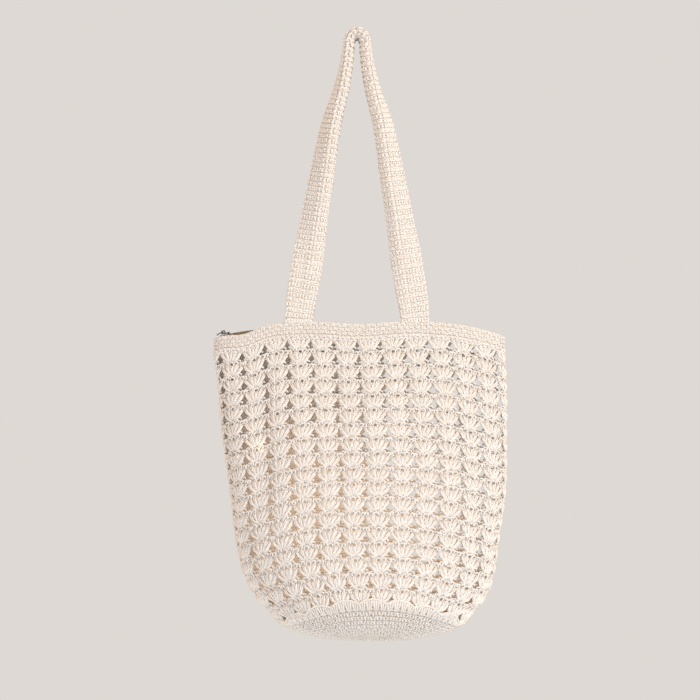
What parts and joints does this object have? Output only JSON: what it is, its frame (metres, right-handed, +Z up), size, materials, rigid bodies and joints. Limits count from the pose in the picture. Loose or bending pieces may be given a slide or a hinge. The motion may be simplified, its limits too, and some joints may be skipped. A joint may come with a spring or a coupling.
{
  "type": "crochet tote bag",
  "caption": "Openwork crochet tote bag with a round solid base, plain rim, zip mouth and flat folded handles, shown hanging.",
  "frame": {"origin": "hanging point: the middle of the underside of the two handles' tops, where a hook or hand carries them", "axes": "+Z up along the hanging bag, -Y towards its front, +X to the right as seen from the front, away from the zip slider's end"},
  "size_m": [0.3234, 0.1394, 0.6689],
  "materials": {
    "base_cotton": "matte solid crochet in natural cotton yarn",
    "lace_cotton": "matte openwork crochet in natural cotton yarn",
    "rim_cotton": "matte close crochet in natural cotton yarn",
    "handle_cotton": "matte close crochet in natural cotton yarn, ribbed across",
    "zipper_tape": "matte woven tape, brown",
    "zipper_coil": "satin nylon coil, dark brown",
    "zipper_metal": "dark antique lacquer, worn at the edges"
  },
  "bodies": {
    "bag": {"base_panel": "base_cotton", "shell_stitch_body": "lace_cotton", "rim_band": "rim_cotton", "handle_front": "handle_cotton", "handle_back": "handle_cotton", "zipper_tape_front": "zipper_tape", "zipper_tape_back": "zipper_tape", "zipper_coil_front": "zipper_coil", "zipper_coil_back": "zipper_coil", "zipper_slider": "zipper_metal"},
    "pull": {"zipper_pull": "zipper_metal"}
  },
  "joints": [
    {"name": "pull_swing", "type": "hinge", "parent": "bag", "child": "pull", "pos_m": [-0.14724, -0.00106, -0.32368], "axis": [0, 1, 0], "range_deg": [0, 150]}
  ]
}
